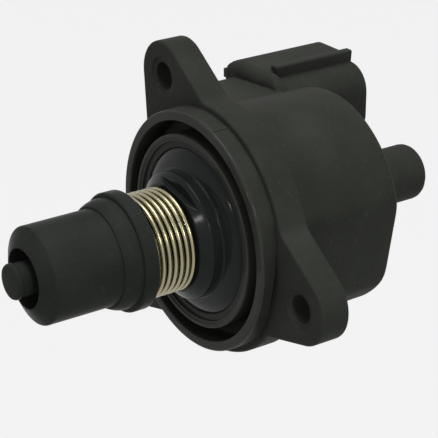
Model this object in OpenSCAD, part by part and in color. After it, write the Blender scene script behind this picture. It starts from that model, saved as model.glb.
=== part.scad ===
// Idle air control valve: a stepper motor in a moulded housing drives a spring-loaded hollow pintle.
// The valve's axis is Y. The pintle points along -Y, and the flange's mounting face is the plane y = 0.
// Every piece is drawn with its axis along z, forward positive, and on_axis() turns it into place.

/* [Flange and ears] */
// Radius of the round flange
flange_r = 20.5; // [20.1:0.1:21.5]
// Thickness of the flange and its ears
flange_t = 5; // [4.5:0.25:7]
// Distance from the axis to each screw hole
ear_reach = 24.8; // [24:0.1:27]
// Radius of the rounded end of an ear
ear_end_r = 5.75; // [4.8:0.05:6.2]
// Angle by which each side of an ear closes in towards its end
ear_taper = 25; // [10:1:30]
// Radius of the fillet between an ear and the round flange
ear_fillet_r = 3; // [0.5:0.25:4]
// Diameter of the screw holes
screw_hole_d = 4.5; // [4.2:0.1:5.5]
// Direction of the first ear, from +X towards +Z
ear_angle_a = -10; // [-15:1:-5]
// Direction of the second ear
ear_angle_b = 120; // [115:1:125]
// Direction of the third ear
ear_angle_c = 220; // [215:1:225]
// Width of the shallow ring sunk round each screw hole
hole_ring_w = 0.8; // [0.5:0.1:1.2]
// Depth of that ring
hole_ring_depth = 0.3; // [0.2:0.05:0.5]

/* [Pilot] */
// Radius of the pilot that enters the throttle body
pilot_r = 19.45; // [18.9:0.05:19.6]
// Height of the pilot in front of the flange
pilot_h = 3.15; // [2.8:0.05:4]
// Outer radius of the annular groove in the pilot
groove_out_r = 17.8; // [17.3:0.1:18.2]
// Inner radius of the annular groove
groove_in_r = 15.65; // [15.2:0.05:16]
// Depth of the annular groove
groove_depth = 4.5; // [2:0.1:5]
// Radius of the step inside the inner lip
lip_step_r = 14.5; // [14.2:0.1:14.8]
// Depth of that step
lip_step_depth = 0.6; // [0.3:0.1:1]

/* [Motor body] */
// Radius of the body where it leaves the flange
body_front_r = 18.1; // [17.6:0.1:18.8]
// Radius of the body at its rear edge
body_rear_r = 17.8; // [17.2:0.1:18.6]
// Distance from the mounting face to the body's rear face
body_len = 24.8; // [24:0.1:28]
// Radius of the rounding on the rear edge
body_edge_r = 1; // [0.5:0.1:2]
// Thickness of the body's rear wall behind the bush
back_wall = 1.2; // [0.8:0.1:2]
// Distance from the axis to the flat side of the body
flat_offset = 15.95; // [15.6:0.05:17]
// Radius of the rear nub
nub_r = 4.75; // [4.4:0.05:6]
// Distance from the mounting face to the end of the nub
nub_len = 42; // [41:0.5:50]
// Radius of the rounding on the end of the nub
nub_edge_r = 1.6; // [0.5:0.1:2.5]

/* [Socket] */
// Distance from the axis to the middle of the socket, sideways
socket_x = -16.3; // [-17.5:0.1:-15.5]
// Width of the socket
socket_w = 15.6; // [15:0.1:18]
// Height of the socket's top above the axis
socket_top = 17.55; // [17:0.05:19]
// Height of the socket
socket_h = 12.6; // [12:0.1:15]
// Where the socket starts behind the mounting face
socket_front = 20.2; // [18:0.1:22]
// Where the socket's mouth is behind the mounting face
socket_rear = 38.8; // [38:0.1:44]
// Thickness of the socket's walls
socket_wall = 1.5; // [1.2:0.1:1.8]
// Depth of the socket's mouth
socket_depth = 11.5; // [10:0.5:13]
// Width of the guide rail on top of the socket
rail_w = 1.6; // [1:0.1:2.5]
// Height of the guide rail above the socket's top
rail_h = 0.9; // [0.5:0.1:1.5]
// Height of the low rail on the socket's outer side
side_rail_h = 0.3; // [0.2:0.05:0.8]
// Radius of the rounding between the top rail and the socket's side
shoulder_r = 4.4; // [3:0.1:5]
// How far the top falls beyond the guide rail
shoulder_drop = 1.15; // [0.5:0.05:1.5]
// Height of the terminal duct's top above the axis
duct_top = 14.05; // [14:0.05:15]

/* [Terminals] */
// Side of a square terminal pin
pin_w = 0.64; // [0.5:0.02:0.8]
// Distance between neighbouring pins of a row
pin_pitch = 4; // [3.4:0.1:4.2]
// Distance between the two rows of pins
row_pitch = 3; // [2.6:0.1:3.2]
// Height of the lower row above the axis
row_low_z = 9.6; // [9.4:0.05:9.8]
// Distance from a pin's tip to the socket's mouth
pin_recess = 4.7; // [4.5:0.1:6]

/* [Front plate] */
// Radius of the front plate
plate_r = 13.4; // [13.2:0.1:13.8]
// Radius of the hub on the front plate
hub_r = 10.8; // [10.6:0.1:11.4]
// Radius of the hub's front face, which carries the spring
hub_face_r = 8.6; // [8.5:0.05:9.3]
// Slope of the hub's flank between its front face and its side
hub_slope = 38; // [34:1:45]
// Radius of the rounding between the flank and the side
hub_edge_r = 0.9; // [0.5:0.1:1.2]
// Distance from the axis to the flat that is cut into the hub
hub_flat = 8.45; // [8.4:0.05:8.8]
// Direction of the flat
hub_flat_angle = 78; // [60:1:100]
// Depth of the flat behind the hub's front face
hub_flat_depth = 1.25; // [0.6:0.05:1.5]
// Distance from the mounting face to the hub's front face
hub_top = 7; // [6.6:0.1:8]
// Radius of the guide tube in front of the hub
guide_r = 5.2; // [4.6:0.1:5.6]
// Length of the guide tube in front of the hub
guide_len = 2.5; // [1:0.1:3]

/* [Pintle and spindle] */
// Radius of the hollow nose
nose_r = 7.68; // [7:0.02:7.9]
// Radius of the nose's bore
nose_bore_r = 4.64; // [4.2:0.02:5.4]
// Distance from the mounting face to the front of the nose
nose_front = 32.7; // [30:0.1:36]
// Angle by which the front of the nose slopes back from its bore to its outside
nose_slope = 28; // [10:1:40]
// Distance from the mounting face to the back of the nose, where the collar starts
collar_front = 19.95; // [19:0.05:21]
// Distance from the mounting face to the back of the collar
collar_rear = 14.65; // [14:0.05:16]
// Radius of the collar's front band
collar_front_r = 8.75; // [8.6:0.05:9.2]
// Radius of the collar's rear band
collar_rear_r = 9.45; // [9.3:0.05:10.5]
// Radius of the spindle
spindle_r = 3; // [2.6:0.05:3.2]
// Distance from the mounting face to the spindle's tip
tip_front = 35; // [33.5:0.1:37]
// Distance from the mounting face to the spindle's rear end
spindle_rear = 34; // [30:0.5:36]
// Distance from the axis to each flat of the spindle
spindle_flat = 2.45; // [2.2:0.05:2.6]
// How far the pintle can still draw back from where it is shown
travel_back = 1; // [0.5:0.1:1.5]

/* [Spring] */
// Outer diameter of the spring
spring_d = 16.7; // [16:0.1:17]
// Diameter of the spring's wire
wire_d = 0.85; // [0.6:0.05:0.9]
// Number of turns of the spring
spring_turns = 6.6; // [5:0.1:7]
// Turns at each end that lie close
spring_end_turns = 0.75; // [0.5:0.25:1]
// Direction in which the wire's rear end lies
spring_start_angle = 97; // [0:1:359]

/* [Motor] */
// Radius of the stator cups
stator_r = 14.6; // [14.3:0.05:14.8]
// Thickness of the stator's sheet steel
sheet_t = 1; // [0.8:0.05:1.2]
// Radius inside the claws
claw_bore_r = 7.4; // [7.3:0.05:7.6]
// Number of claws on each pole plate
claws = 6; // [4:1:8]
// Angle that one claw covers
claw_angle = 20; // [14:1:22]
// Air gap between the rotor and the claws
air_gap = 0.35; // [0.3:0.05:0.45]
// Radius of the threaded core inside the magnet
core_r = 4.7; // [4.4:0.1:5]
// Wall of a bobbin
bobbin_wall = 0.7; // [0.5:0.05:0.9]
// Radius of the windings
winding_r = 12.6; // [11.5:0.1:12.8]

/* [Bearings] */
// Outer radius of the ball bearing
bearing_r = 8; // [7.8:0.05:8.2]
// Bore radius of the ball bearing, and radius of the rotor's journals
journal_r = 4; // [3.8:0.05:4.1]
// Width of the ball bearing
bearing_w = 5; // [4:0.1:5]
// Thickness of each bearing ring
race_t = 1.3; // [1.1:0.05:1.4]
// Number of balls
balls = 9; // [7:1:10]
// Radius of a ball
ball_r = 0.95; // [0.8:0.05:1]
// Outer radius of the rear bush
bush_r = 6; // [5.8:0.05:6.4]
// Length of the rear bush
bush_len = 2.8; // [2.2:0.1:3]

/* [Hidden] */
$fn = 72;
// clearance of a running fit, a sliding key and a press or moulded seat
running = 0.05;
sliding = 0.08;
seat = 0.05;
// overlap that lets a cut or a joined piece pass through a face
past = 0.5;

// colours as the photograph shows them
black_plastic = [0.20, 0.21, 0.20];
gloss_plastic = [0.15, 0.17, 0.19];
spring_steel = [0.80, 0.76, 0.62];
plain_steel = [0.66, 0.67, 0.68];
ferrite = [0.24, 0.23, 0.23];
brass = [0.78, 0.66, 0.36];
copper = [0.72, 0.42, 0.24];
bobbin_plastic = [0.86, 0.84, 0.76];
tin_plate = [0.78, 0.79, 0.80];

// stator, forward positive
stator_front = -1.6;
bush_step = 0.2;
half_len = (body_len - back_wall - bush_len - bush_step + stator_front) / 2;
half_joint = stator_front - half_len;
stator_rear = half_joint - half_len;
cup_wall_r = stator_r - sheet_t;
bobbin_in_r = claw_bore_r + sheet_t + running;
bobbin_len = half_len - 2 * sheet_t - 2 * running;
claw_len = half_len - 2 * sheet_t - 0.5;

// rotor
magnet_r = claw_bore_r - air_gap;
shoulder_t = 0.6;
magnet_front = stator_front - shoulder_t;
washer_t = 0.3;
wave_t = 0.25;
wave_h = 0.25;
bush_front = stator_rear - bush_step;
magnet_rear = bush_front + washer_t + wave_t + wave_h;
bush_rear = bush_front - bush_len;
journal_rear = bush_rear + 0.2;
washer_r = bush_r - 0.2;
washer_in_r = journal_r + 0.15;
nub_clearance = 0.35;
nub_bore_r = spindle_r + nub_clearance;
nub_wall_end = 2;
thread_len = 10;
ball_ring_r = (journal_r + bearing_r) / 2;
race_groove_r = ball_r + running;
cage_t = 0.7;

// front plate
bearing_front = stator_front + bearing_w;
plate_rim = 2.6;
hub_root = 3.65;
guide_front = hub_top + guide_len;

// spring
spring_mid_r = (spring_d - wire_d) / 2;
spring_start = hub_top + wire_d / 2;
spring_span = collar_rear - hub_top - wire_d;
end_pitch = wire_d * 1.02;
mid_turns = spring_turns - 2 * spring_end_turns;
mid_pitch = (spring_span - 2 * spring_end_turns * end_pitch) / mid_turns;

// pintle
web_front = collar_front + 1.5;
web_rear = collar_rear + 2.4;
sleeve_r = spring_mid_r - wire_d / 2 - 0.6;
sleeve_in_r = guide_r + 0.4;
sleeve_rear = guide_front + travel_back + 1;
flats_front = guide_front + travel_back + 0.6;

// socket and duct
socket_left = socket_x - socket_w / 2;
socket_right = socket_x + socket_w / 2;
socket_bottom = socket_top - socket_h;
socket_floor = socket_rear - socket_depth;
corner_r = 2.9;
front_round = 2;
rail_lap = 0.1;
rail_x = socket_right - shoulder_r - rail_w + rail_lap;
rail_setback = 1.9;
rail_front = socket_front + rail_setback;
side_rail_drop = 0.05;
side_rail_low = duct_top - side_rail_drop;
duct_left = socket_left + socket_wall;
duct_right = -8;
duct_step = 2;
duct_bottom = socket_bottom + duct_step;
duct_edge_r = 1.2;

// terminals
pin_tip = socket_rear - pin_recess;
carrier_t = 1.6;
carrier_angle = 144;
neck_w = 8;
neck_out = 1.2;
neck_reach = stator_r + neck_out;
carrier_margin = 1.1;
upper_extra = 1.6;
front_carrier_rear = -half_joint - sheet_t - running;
rear_carrier_rear = -half_joint + sheet_t + running + carrier_t;

// points of an arc from angle a0 to a1 in steps steps
function arc_pts(cx, cy, r, a0, a1, steps = 6) =
    [for (i = [0:steps]) let (a = a0 + (a1 - a0) * i / steps) [cx + r * cos(a), cy + r * sin(a)]];

// turns local z into the forward direction, and local y into up
module on_axis() rotate([90, 0, 0]) children();

// a flat ring or tube between two heights
module tube(r_in, r_out, z0, z1) {
    difference() {
        translate([0, 0, z0]) cylinder(r = r_out, h = z1 - z0);
        translate([0, 0, z0 - past]) cylinder(r = r_in, h = z1 - z0 + 2 * past);
    }
}

// a plain round solid between two heights
module disc(r, z0, z1) translate([0, 0, z0]) cylinder(r = r, h = z1 - z0);

// Housing

// one ear: a round end, straight sides that open towards the flange, and a fillet at each root
module ear_outline() {
    side_normal = [sin(ear_taper), cos(ear_taper)];
    side_dir = [cos(ear_taper), -sin(ear_taper)];
    side_dist = ear_reach * sin(ear_taper) + ear_end_r;
    run = sqrt(pow(flange_r + ear_fillet_r, 2) - pow(side_dist + ear_fillet_r, 2));
    fillet = side_normal * (side_dist + ear_fillet_r) + side_dir * run;
    to_side = 270 - ear_taper;
    to_disc = 180 + atan2(fillet[1], fillet[0]);
    side_end = [ear_reach, 0] + ear_end_r * side_normal;
    translate([ear_reach, 0]) circle(r = ear_end_r);
    polygon(concat(
        arc_pts(fillet[0], fillet[1], ear_fillet_r, to_disc, to_side, 10),
        [side_end, [side_end[0], -side_end[1]]],
        arc_pts(fillet[0], -fillet[1], ear_fillet_r, -to_side, -to_disc, 10)));
}

module at_ears() {
    for (angle = [ear_angle_a, ear_angle_b, ear_angle_c])
        rotate(angle) children();
}

module flange() {
    difference() {
        translate([0, 0, -flange_t]) linear_extrude(flange_t) union() {
            circle(r = flange_r);
            at_ears() ear_outline();
        }
        at_ears() translate([ear_reach, 0, 0]) {
            disc(screw_hole_d / 2, -flange_t - past, past);
            disc(screw_hole_d / 2 + hole_ring_w, -hole_ring_depth, past);
        }
    }
}

// outside of the motor body and its nub, with rounded rear edges
module body_outside() {
    rotate_extrude() polygon(concat([[0, past], [0, -nub_len]],
        arc_pts(nub_r - nub_edge_r, nub_edge_r - nub_len, nub_edge_r, -90, 0),
        [[nub_r, -body_len]],
        arc_pts(body_rear_r - body_edge_r, body_edge_r - body_len, body_edge_r, -90, 0),
        [[body_front_r, -flange_t], [body_front_r, past]]));
}

// block that leaves the flat side when it is cut from the body
module flat_cut() rotate(ear_angle_a)
    translate([flat_offset, -body_front_r, -body_len - past])
        cube([body_front_r, 2 * body_front_r, body_len + past - flange_t]);

// outline of the socket: round corners, and a lower shoulder beyond the guide rail
module socket_outline() {
    shoulder_top = socket_top - shoulder_drop;
    polygon(concat(
        arc_pts(socket_left + corner_r, socket_bottom + corner_r, corner_r, 180, 270),
        arc_pts(socket_right - corner_r, socket_bottom + corner_r, corner_r, 270, 360),
        arc_pts(socket_right - shoulder_r, shoulder_top - shoulder_r, shoulder_r, 0, 90),
        [[rail_x + rail_w, shoulder_top], [rail_x + rail_w, socket_top + rail_h],
            [rail_x, socket_top + rail_h], [rail_x, socket_top]],
        arc_pts(socket_left + corner_r, socket_top - corner_r, corner_r, 90, 180)));
}

// side view of the socket, with a rounded front top edge and the rail set back
module socket_side() {
    polygon(concat([[-socket_rear, socket_bottom - past], [-socket_front, socket_bottom - past]],
        arc_pts(-socket_front - front_round, socket_top - front_round, front_round, 0, 90),
        [[-rail_front, socket_top], [-rail_front, socket_top + rail_h + past],
            [-socket_rear, socket_top + rail_h + past]]));
}

module socket_outside() {
    intersection() {
        translate([0, 0, -socket_rear]) linear_extrude(socket_rear - socket_front) socket_outline();
        translate([socket_left - past, 0, 0])
            rotate([90, 0, 90]) linear_extrude(socket_w + 2 * past) rotate(90) mirror([0, 1]) socket_side();
    }
    translate([socket_left - side_rail_h, side_rail_low, -socket_rear])
        cube([side_rail_h + past, rail_w, socket_rear - socket_front]);
}

// hollow of the socket, with a lead-in at its mouth
module socket_hollow() {
    r = corner_r - socket_wall;
    left = socket_left + socket_wall;
    right = socket_right - socket_wall;
    low = socket_bottom + socket_wall;
    high = socket_top - shoulder_drop - socket_wall;
    high_r = shoulder_r - socket_wall;
    translate([0, 0, -socket_rear - past]) linear_extrude(socket_depth + past)
        polygon(concat(arc_pts(left + r, low + r, r, 180, 270), arc_pts(right - r, low + r, r, 270, 360),
            arc_pts(right - high_r, high - high_r, high_r, 0, 90), arc_pts(left + r, high - r, r, 90, 180)));
}

// duct that carries the terminals from the stator to the socket
module duct() {
    translate([0, 0, -socket_front - past]) linear_extrude(socket_front + past - flange_t + past)
        polygon(concat([[duct_left, duct_bottom], [duct_right, duct_bottom], [duct_right, duct_top]],
            arc_pts(duct_left + duct_edge_r, duct_top - duct_edge_r, duct_edge_r, 90, 180)));
}

module housing() color(black_plastic) on_axis() {
    difference() {
        union() {
            flange();
            disc(pilot_r, -past, pilot_h);
            difference() {
                body_outside();
                flat_cut();
            }
            duct();
            socket_outside();
        }
        tube(groove_in_r, groove_out_r, pilot_h - groove_depth, pilot_h + past);
        disc(plate_r + seat, stator_front - past, pilot_h + past);
        disc(lip_step_r, pilot_h - lip_step_depth, pilot_h + past);
        disc(stator_r, stator_rear, stator_front);
        disc(bush_r, bush_rear, stator_rear + past);
        disc(nub_bore_r, nub_wall_end - nub_len, bush_rear + past);
        socket_hollow();
        bobbin_carrier(0);
        bobbin_carrier(1);
        for (i = [1:6]) terminal_pin(i);
    }
}

// Front plate

module front_plate() color(gloss_plastic) on_axis() {
    edge_x = hub_r - hub_edge_r;
    edge_z = hub_top - (edge_x + hub_edge_r * sin(hub_slope) - hub_face_r) * tan(hub_slope)
        - hub_edge_r * cos(hub_slope);
    difference() {
        union() {
            difference() {
                rotate_extrude() polygon(concat(
                    [[0, stator_front], [plate_r, stator_front], [plate_r, plate_rim - 0.3],
                        [plate_r - 0.3, plate_rim], [hub_r + 0.5, hub_root - 0.1], [hub_r, hub_root + 0.3]],
                    arc_pts(edge_x, edge_z, hub_edge_r, 0, 90 - hub_slope),
                    [[hub_face_r, hub_top], [0, hub_top]]));
                rotate(hub_flat_angle) translate([hub_flat, -hub_r, hub_top - hub_flat_depth])
                    cube([hub_r, 2 * hub_r, hub_flat_depth + past]);
            }
            disc(guide_r, hub_top - past, guide_front);
        }
        disc(bearing_r, stator_front - past, bearing_front);
        disc(journal_r + race_t + 0.2, bearing_front - past, bearing_front + 0.4);
        tube(bearing_r + 1.4, plate_r - 1.4, stator_front - past, plate_rim - 1.4);
        double_d(spindle_r + running, spindle_flat + sliding, bearing_front - past, guide_front + past);
    }
}

// a round bar with two flats
module double_d(r, flat, z0, z1) {
    intersection() {
        disc(r, z0, z1);
        translate([-flat, -r - past, z0 - past]) cube([2 * flat, 2 * r + 2 * past, z1 - z0 + 2 * past]);
    }
}

// Return spring

// height of the wire's middle after t turns, with close turns at both ends
function coil_z(t) = spring_start + (t < spring_end_turns ? t * end_pitch
    : t < spring_turns - spring_end_turns
        ? spring_end_turns * end_pitch + (t - spring_end_turns) * mid_pitch
        : spring_span - (spring_turns - t) * end_pitch);

module return_spring() color(spring_steel) on_axis() {
    sides = 8;
    per_turn = 20;
    rings = round(spring_turns * per_turn);
    points = [for (i = [0:rings], k = [0:sides - 1])
        let (t = spring_turns * i / rings, a = spring_start_angle + 360 * t, b = 360 * (k + 0.5) / sides,
            r = spring_mid_r + wire_d / 2 * cos(b))
        [r * cos(a), r * sin(a), coil_z(t) + wire_d / 2 * sin(b)]];
    faces = concat([[for (k = [0:sides - 1]) k]],
        [for (i = [0:rings - 1], k = [0:sides - 1])
            [i * sides + k, (i + 1) * sides + k, (i + 1) * sides + (k + 1) % sides, i * sides + (k + 1) % sides]],
        [[for (k = [sides - 1:-1:0]) rings * sides + k]]);
    polyhedron(points = points, faces = faces, convexity = 10);
}

// Pintle and spindle

module pintle() color(black_plastic) on_axis() {
    rim_r = nose_bore_r + 0.15;
    nose_edge_r = 0.6;
    edge_x = nose_r - nose_edge_r;
    edge_drop = (edge_x + nose_edge_r * sin(nose_slope) - rim_r) * tan(nose_slope)
        + nose_edge_r * cos(nose_slope);
    band_joint = collar_rear + 2.45;
    barrel_r = 4.1;
    barrel_h = 2.35;
    rotate_extrude() polygon(concat(
        [[nose_bore_r, web_front], [nose_bore_r, nose_front], [rim_r, nose_front]],
        arc_pts(edge_x, nose_front - edge_drop, nose_edge_r, 90 - nose_slope, 0),
        [[nose_r, collar_front]],
        arc_pts(collar_front_r - barrel_r, collar_front - barrel_h, barrel_r, asin(barrel_h / barrel_r), 0),
        [[collar_front_r, band_joint + 0.1], [collar_rear_r - 0.2, band_joint + 0.1],
            [collar_rear_r, band_joint - 0.2], [collar_rear_r, collar_rear + 0.15],
            [collar_rear_r - 0.15, collar_rear], [sleeve_r, collar_rear], [sleeve_r, sleeve_rear + 0.3],
            [sleeve_r - 0.3, sleeve_rear], [sleeve_in_r, sleeve_rear], [sleeve_in_r, web_rear],
            [spindle_r, web_rear], [spindle_r, web_front]]));
}

module spindle() color(black_plastic) on_axis() {
    tip_edge = 0.4;
    disc(spindle_r, flats_front, tip_front - tip_edge);
    translate([0, 0, tip_front - tip_edge])
        cylinder(r1 = spindle_r, r2 = spindle_r - tip_edge, h = tip_edge);
    double_d(spindle_r, spindle_flat, -spindle_rear, flats_front + past);
}

// Rotor

module rotor_magnet() color(ferrite) on_axis() tube(core_r, magnet_r, magnet_rear, magnet_front);

module rotor_nut() color(brass) on_axis() {
    thread_rear = magnet_front - thread_len;
    difference() {
        union() {
            disc(journal_r, stator_front - past, bearing_front - 0.1);
            disc(journal_r + race_t - 0.2, magnet_front, stator_front);
            disc(core_r, magnet_rear, magnet_front + past);
            disc(journal_r, journal_rear, magnet_rear + past);
        }
        disc(spindle_r + running, journal_rear - past, bearing_front + past);
        disc(nub_bore_r, journal_rear - past, thread_rear);
    }
}

// Ball bearing

module race_groove() translate([0, 0, bearing_front - bearing_w / 2])
    rotate_extrude() translate([ball_ring_r, 0]) circle(r = race_groove_r, $fn = 32);

module bearing_outer_ring() color(plain_steel) on_axis() {
    difference() {
        tube(bearing_r - race_t, bearing_r, stator_front, bearing_front);
        race_groove();
    }
}

module bearing_inner_ring() color(plain_steel) on_axis() {
    difference() {
        tube(journal_r, journal_r + race_t, stator_front, bearing_front);
        race_groove();
    }
}

module at_balls() {
    for (i = [0:balls - 1])
        rotate(360 * i / balls) translate([ball_ring_r, 0, bearing_front - bearing_w / 2]) children();
}

module bearing_balls() color(tin_plate) on_axis() at_balls() sphere(r = ball_r, $fn = 32);

module bearing_cage() color(brass) on_axis() {
    half = ball_r + 0.4;
    middle = bearing_front - bearing_w / 2;
    difference() {
        tube(ball_ring_r - cage_t / 2, ball_ring_r + cage_t / 2, middle - half, middle + half);
        at_balls() rotate([0, 90, 0]) translate([0, 0, -past - cage_t])
            cylinder(r = ball_r + running, h = 2 * (past + cage_t), $fn = 32);
    }
}

// Rear bearing

module rear_bush() color(brass) on_axis() tube(journal_r + running, bush_r, bush_rear, bush_front);

module thrust_washer() color(plain_steel) on_axis()
    tube(washer_in_r, washer_r, magnet_rear - washer_t, magnet_rear);

// height of the wave washer's underside, which waves three times round the ring
function wave(a) = bush_front + wave_h / 2 * (1 + sin(3 * a));

module wave_washer() color(plain_steel) on_axis() {
    steps = 48;
    points = [for (i = [0:steps - 1]) let (a = 360 * i / steps, z = wave(a))
        each [[washer_in_r * cos(a), washer_in_r * sin(a), z], [washer_r * cos(a), washer_r * sin(a), z],
            [washer_r * cos(a), washer_r * sin(a), z + wave_t],
            [washer_in_r * cos(a), washer_in_r * sin(a), z + wave_t]]];
    faces = [for (i = [0:steps - 1], k = [0:3]) let (n = (i + 1) % steps)
        [i * 4 + k, n * 4 + k, n * 4 + (k + 1) % 4, i * 4 + (k + 1) % 4]];
    polyhedron(points = points, faces = faces, convexity = 4);
}

// Stator

// wedges that cut the ring of claws, for claws that start at angle first
module claw_wedges(first, z0, z1) {
    reach = claw_bore_r + sheet_t + past;
    for (i = [0:claws - 1])
        rotate(first + 360 * i / claws) translate([0, 0, z0]) linear_extrude(z1 - z0)
            polygon([[0, 0], reach * [cos(claw_angle / 2), -sin(claw_angle / 2)],
                reach * [cos(claw_angle / 2), sin(claw_angle / 2)]]);
}

module claw_ring(first, z0, z1) {
    intersection() {
        tube(claw_bore_r, claw_bore_r + sheet_t, z0, z1);
        claw_wedges(first, z0 - past, z1 + past);
    }
}

// outer cup: an end disc, the outside wall with a slot for the bobbin's neck, and the claws
module cup(front) {
    outer_z = front ? stator_front : stator_rear;
    inward = front ? -1 : 1;
    function span(a, b) = [min(outer_z + inward * a, outer_z + inward * b),
        max(outer_z + inward * a, outer_z + inward * b)];
    end = span(0, sheet_t);
    wall = span(0, half_len);
    claw = span(0, sheet_t + claw_len);
    slot = span(sheet_t, half_len + past);
    tube(claw_bore_r, stator_r, end[0], end[1]);
    difference() {
        tube(cup_wall_r, stator_r, wall[0], wall[1]);
        rotate(carrier_angle) translate([cup_wall_r - past, -neck_w / 2 - seat, slot[0]])
            cube([sheet_t + 2 * past, neck_w + 2 * seat, slot[1] - slot[0]]);
    }
    claw_ring(0, claw[0], claw[1]);
}

module claw_plate(front) {
    z0 = front ? half_joint : half_joint - sheet_t;
    claw_z0 = front ? half_joint : half_joint - sheet_t - claw_len;
    tube(claw_bore_r, cup_wall_r - seat, z0, z0 + sheet_t);
    claw_ring(180 / claws, claw_z0, claw_z0 + sheet_t + claw_len);
}

module front_cup() color(plain_steel) on_axis() cup(true);
module rear_cup() color(plain_steel) on_axis() cup(false);
module front_claw_plate() color(plain_steel) on_axis() claw_plate(true);
module rear_claw_plate() color(plain_steel) on_axis() claw_plate(false);

// block outside the stator that holds one bobbin's three pins; row 0 is the lower one
module bobbin_carrier(row) {
    rear = row == 1 ? front_carrier_rear : rear_carrier_rear;
    low = row_low_z + row * row_pitch - carrier_margin;
    outer_x = socket_x - pin_pitch - carrier_margin;
    inner_x = socket_x + pin_pitch + carrier_margin + row * upper_extra;
    translate([0, 0, -rear]) linear_extrude(carrier_t) difference() {
        union() {
            translate([outer_x, low]) square([inner_x - outer_x, 2 * carrier_margin]);
            rotate(carrier_angle) translate([winding_r, -neck_w / 2])
                square([neck_reach - winding_r, neck_w]);
        }
        circle(r = winding_r + past);
    }
}

module bobbin(row) {
    front = row == 1 ? stator_front - sheet_t - running : half_joint - sheet_t - running;
    rear = front - bobbin_len;
    flange_out_r = cup_wall_r - 0.3;
    difference() {
        union() {
            tube(bobbin_in_r, bobbin_in_r + bobbin_wall, rear, front);
            tube(bobbin_in_r, flange_out_r, front - bobbin_wall, front);
            tube(bobbin_in_r, flange_out_r, rear, rear + bobbin_wall);
            bobbin_carrier(row);
        }
        for (i = [1:3]) terminal_pin(row * 3 + i, past);
    }
}

module winding(row) {
    front = row == 1 ? stator_front - sheet_t - running : half_joint - sheet_t - running;
    tube(bobbin_in_r + bobbin_wall, winding_r, front - bobbin_len + bobbin_wall, front - bobbin_wall);
}

module front_bobbin() color(bobbin_plastic) on_axis() bobbin(1);
module rear_bobbin() color(bobbin_plastic) on_axis() bobbin(0);
module front_winding() color(copper) on_axis() winding(1);
module rear_winding() color(copper) on_axis() winding(0);

// Terminals

// pins 1 to 3 are the lower row, on the rear bobbin, and 4 to 6 the upper row, on the front bobbin;
// ahead lengthens a pin's root where it cuts its hole through the carrier
module terminal_pin(i, ahead = 0) {
    row = i > 3 ? 1 : 0;
    x = socket_x + pin_pitch * ((i - 1) % 3 - 1);
    z = row_low_z + row * row_pitch;
    start = (row == 1 ? front_carrier_rear : rear_carrier_rear) - carrier_t - ahead;
    point = 0.6;
    w = pin_w / 2;
    translate([x, z, 0]) intersection() {
        rotate([90, 0, 0]) translate([0, 0, -w]) linear_extrude(pin_w) pin_outline(w, start, point);
        rotate([90, 0, 90]) translate([0, 0, -w]) linear_extrude(pin_w) pin_outline(w, start, point);
    }
}

module pin_outline(w, start, point) polygon([[-w, -start], [w, -start], [w, point - pin_tip],
    [w / 2, -pin_tip], [-w / 2, -pin_tip], [-w, point - pin_tip]]);

module terminal(i) color(tin_plate) on_axis() terminal_pin(i);

housing();
front_plate();
return_spring();
pintle();
spindle();
rotor_magnet();
rotor_nut();
bearing_outer_ring();
bearing_inner_ring();
bearing_balls();
bearing_cage();
rear_bush();
thrust_washer();
wave_washer();
front_cup();
front_claw_plate();
rear_claw_plate();
rear_cup();
front_bobbin();
rear_bobbin();
front_winding();
rear_winding();
terminal(1);  // terminal_1
terminal(2);  // terminal_2
terminal(3);  // terminal_3
terminal(4);  // terminal_4
terminal(5);  // terminal_5
terminal(6);  // terminal_6
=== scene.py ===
import math

import bmesh
import bpy
from mathutils import Matrix, Vector


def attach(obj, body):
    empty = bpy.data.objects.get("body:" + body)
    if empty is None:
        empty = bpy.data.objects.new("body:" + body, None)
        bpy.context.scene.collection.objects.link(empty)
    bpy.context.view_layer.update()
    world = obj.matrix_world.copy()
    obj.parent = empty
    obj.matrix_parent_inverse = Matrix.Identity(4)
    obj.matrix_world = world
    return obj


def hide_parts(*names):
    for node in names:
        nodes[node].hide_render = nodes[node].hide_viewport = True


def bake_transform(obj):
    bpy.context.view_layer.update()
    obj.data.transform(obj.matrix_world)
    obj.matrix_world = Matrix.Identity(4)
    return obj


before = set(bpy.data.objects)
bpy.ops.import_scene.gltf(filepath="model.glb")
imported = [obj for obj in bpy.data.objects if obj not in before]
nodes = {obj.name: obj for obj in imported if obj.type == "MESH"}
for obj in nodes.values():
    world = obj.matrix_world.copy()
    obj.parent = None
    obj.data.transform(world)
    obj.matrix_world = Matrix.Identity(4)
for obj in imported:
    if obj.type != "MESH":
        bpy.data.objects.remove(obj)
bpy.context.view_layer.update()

MM = 0.001

# The valve's axis is Y and the pintle points along -Y. Sizes are in millimetres, and MM turns them into metres.
# Outlines of turned pieces are (radius, y), and outlines that are drawn out along Y are (x, z). A third number
# rounds the corner.


# Camera, fitted to the photograph

PHOTO_SIDE, FOCAL_PIXELS, SENSOR_WIDTH = 438, 1734.6, 36
CAMERA_RIGHT = (0.56601, 0.82440, 0.0)
CAMERA_BACK = (0.75267, -0.51676, 0.40778)
CAMERA_PLACE = (0.20646, -0.13937, 0.11267)


def make_camera():
    right = Vector(CAMERA_RIGHT).normalized()
    back = Vector(CAMERA_BACK).normalized()
    up = back.cross(right).normalized()
    right = up.cross(back).normalized()
    data = bpy.data.cameras.new("camera")
    data.sensor_width = SENSOR_WIDTH
    data.lens = FOCAL_PIXELS / PHOTO_SIDE * SENSOR_WIDTH
    data.clip_start = 0.01
    data.clip_end = 20
    camera = bpy.data.objects.new("camera", data)
    camera.matrix_world = Matrix.Translation(CAMERA_PLACE) @ Matrix((right, up, back)).transposed().to_4x4()
    bpy.context.scene.collection.objects.link(camera)
    bpy.context.scene.camera = camera


# Outlines

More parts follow.
